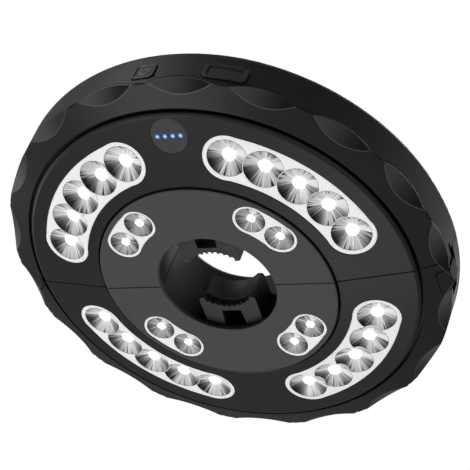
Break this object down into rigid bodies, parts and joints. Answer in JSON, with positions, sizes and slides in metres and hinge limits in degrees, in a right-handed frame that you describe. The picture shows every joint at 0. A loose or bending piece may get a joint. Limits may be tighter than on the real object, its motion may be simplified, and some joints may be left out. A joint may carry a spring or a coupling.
{
  "type": "patio umbrella light",
  "caption": "Round clamp-on patio umbrella light: two hinged halves close round the pole, with sprung toothed jaws, clear lens strips in a cone face and a scalloped rim.",
  "frame": {"origin": "on the pole's axis, in the plane of the LED face's inner ring, which is the lowest face", "axes": "+Z from the LED face to the back, along the pole; +Y from the control half to the follower half; +X from the hinge to the latch"},
  "size_m": [0.2057, 0.2058, 0.0374],
  "materials": {
    "cover_plastic": "black moulded, soft gloss",
    "bezel_plastic": "charcoal moulded, satin",
    "plate_plastic": "charcoal moulded, smooth satin",
    "ring_plastic": "grey, fine-grained texture",
    "white_plastic": "white, reflective",
    "lens_clear": "clear moulded, fluted",
    "board_white": "white circuit board",
    "emitter_yellow": "light emitter",
    "jaw_plastic": "grey moulded, satin",
    "guide_plastic": "dark moulded",
    "spring_steel": "spring wire",
    "cell_wrap": "shrink wrapped cell",
    "nickel": "plated",
    "board_green": "green circuit board",
    "brass_part": "plain",
    "button_plastic": "black, soft",
    "black_rubber": "matt",
    "smoke_clear": "smoked clear",
    "indicator_blue": "blue lamp",
    "wire_red": "insulated wire",
    "screw_steel": "dark zinc"
  },
  "bodies": {
    "control_half": {"back_cover_control": "cover_plastic", "bezel_control": "bezel_plastic", "face_plate_control": "plate_plastic", "inner_ring_control": "ring_plastic", "outer_tray_control_left": "white_plastic", "outer_tray_control_right": "white_plastic", "inner_tray_control_left": "white_plastic", "inner_tray_control_right": "white_plastic", "outer_lens_control_left": "lens_clear", "outer_lens_control_right": "lens_clear", "inner_lens_control_left": "lens_clear", "inner_lens_control_right": "lens_clear", "outer_light_board_control": "board_white", "inner_light_boards_control": "board_white", "emitters_control": "emitter_yellow", "jaw_guide_control": "guide_plastic", "jaw_springs_control": "spring_steel", "battery_cell": "cell_wrap", "cell_tabs": "nickel", "cell_cradle": "guide_plastic", "charge_board": "board_green", "charging_socket": "nickel", "switch_body": "guide_plastic", "indicator_window": "smoke_clear", "indicator_lights": "indicator_blue", "hinge_pin": "nickel", "jumper_wires": "wire_red", "hook_pin_control": "nickel", "case_screws_control": "screw_steel"},
    "follower_half": {"back_cover_follower": "cover_plastic", "bezel_follower": "bezel_plastic", "face_plate_follower": "plate_plastic", "inner_ring_follower": "ring_plastic", "outer_tray_follower_left": "white_plastic", "outer_tray_follower_right": "white_plastic", "inner_tray_follower_left": "white_plastic", "inner_tray_follower_right": "white_plastic", "outer_lens_follower_left": "lens_clear", "outer_lens_follower_right": "lens_clear", "inner_lens_follower_left": "lens_clear", "inner_lens_follower_right": "lens_clear", "outer_light_board_follower": "board_white", "inner_light_boards_follower": "board_white", "emitters_follower": "emitter_yellow", "jaw_guide_follower": "guide_plastic", "jaw_springs_follower": "spring_steel", "latch_pin": "nickel", "hook_pin_follower": "nickel", "case_screws_follower": "screw_steel"},
    "jaw_control": {"jaw_control": "jaw_plastic"},
    "jaw_follower": {"jaw_follower": "jaw_plastic"},
    "power_button": {"power_button": "button_plastic", "switch_plunger": "brass_part"},
    "port_cover": {"port_cover": "black_rubber"},
    "latch": {"latch_tab": "bezel_plastic", "latch_hook": "bezel_plastic"},
    "hook_control": {"hanging_hook_control": "jaw_plastic"},
    "hook_follower": {"hanging_hook_follower": "jaw_plastic"}
  },
  "joints": [
    {"name": "halves_hinge", "type": "hinge", "parent": "control_half", "child": "follower_half", "pos_m": [-0.0996, 0.002, 0.023], "axis": [0, 0, 1], "range_deg": [0, 95], "deforming": ["jumper_wires", "latch_hook"]},
    {"name": "control_jaw_slide", "type": "slide", "parent": "control_half", "child": "jaw_control", "axis": [0, -1, 0], "range_m": [0, 0.0076], "stiffness_N_per_m": 400, "springref_m": -0.004, "deforming": ["jaw_springs_control"]},
    {"name": "follower_jaw_slide", "type": "slide", "parent": "follower_half", "child": "jaw_follower", "axis": [0, 1, 0], "range_m": [0, 0.0076], "stiffness_N_per_m": 400, "springref_m": -0.004, "deforming": ["jaw_springs_follower"]},
    {"name": "power_button_press", "type": "slide", "parent": "control_half", "child": "power_button", "axis": [0.0698, 0.9976, 0], "range_m": [0, 0.0006], "stiffness_N_per_m": 900, "springref_m": -0.0003},
    {"name": "port_cover_hinge", "type": "hinge", "parent": "control_half", "child": "port_cover", "pos_m": [0.02831, -0.09872, 0.0238], "axis": [-0.9613, -0.2756, 0], "range_deg": [0, 100]},
    {"name": "latch_pivot", "type": "hinge", "parent": "follower_half", "child": "latch", "pos_m": [0.0989, 0.0146, 0.016], "axis": [0, 0, 1], "range_deg": [0, 20], "stiffness_Nm_per_rad": 0.05, "springref_deg": -2.86},
    {"name": "hook_control_hinge", "type": "hinge", "parent": "control_half", "child": "hook_control", "pos_m": [-0.0165, -0.046, 0.0346], "axis": [0, -1, 0], "range_deg": [0, 90]},
    {"name": "hook_follower_hinge", "type": "hinge", "parent": "follower_half", "child": "hook_follower", "pos_m": [0.0165, 0.046, 0.0346], "axis": [0, 1, 0], "range_deg": [0, 90]}
  ]
}
